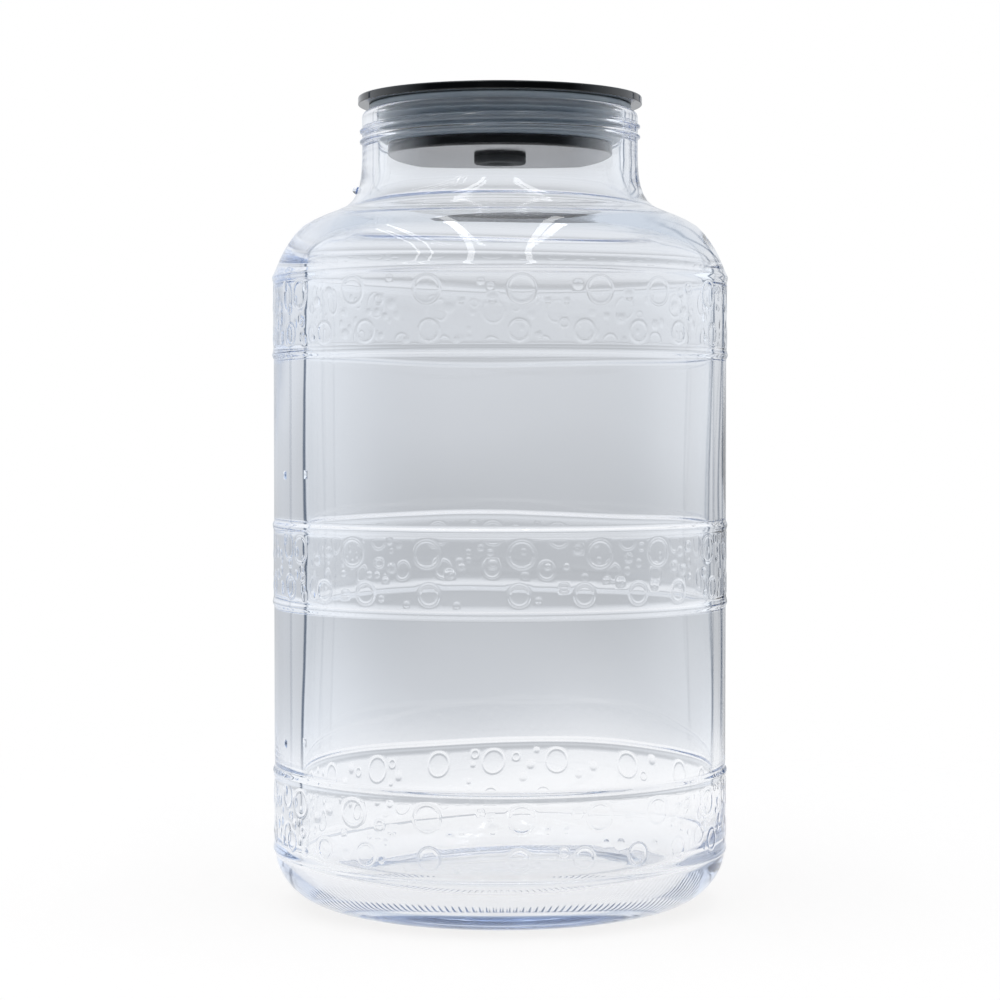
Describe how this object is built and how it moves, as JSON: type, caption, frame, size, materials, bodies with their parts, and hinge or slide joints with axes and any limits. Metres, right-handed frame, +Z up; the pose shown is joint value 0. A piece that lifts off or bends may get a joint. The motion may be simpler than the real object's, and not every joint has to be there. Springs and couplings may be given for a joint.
{
  "type": "glass carboy",
  "caption": "Wide-mouth glass carboy with raised bubble-patterned bands, a threaded neck and a push-in black lid with a silicone seal and an airlock hole.",
  "frame": {"origin": "centre of the jar's standing ring, on the plane that it stands on", "axes": "+Z up along the jar's axis towards the lid; -Y is the front, and the bead at the foot of the neck is on the -X side"},
  "size_m": [0.1772, 0.1772, 0.3132],
  "materials": {
    "clear_glass": "blown and pressed flint glass, polished, faintly blue at its edges",
    "black_lid_plastic": "moulded glossy black plastic",
    "silicone_seal": "translucent milky silicone, satin",
    "black_rubber": "moulded black rubber, matt"
  },
  "bodies": {
    "jar": {"carboy_body": "clear_glass"},
    "lid": {"lid": "black_lid_plastic", "lid_seal": "silicone_seal", "airlock_grommet": "black_rubber"}
  },
  "joints": [
    {"name": "lid_lift", "type": "slide", "parent": "jar", "child": "lid", "axis": [0, 0, 1], "range_m": [0, 0.1]}
  ]
}
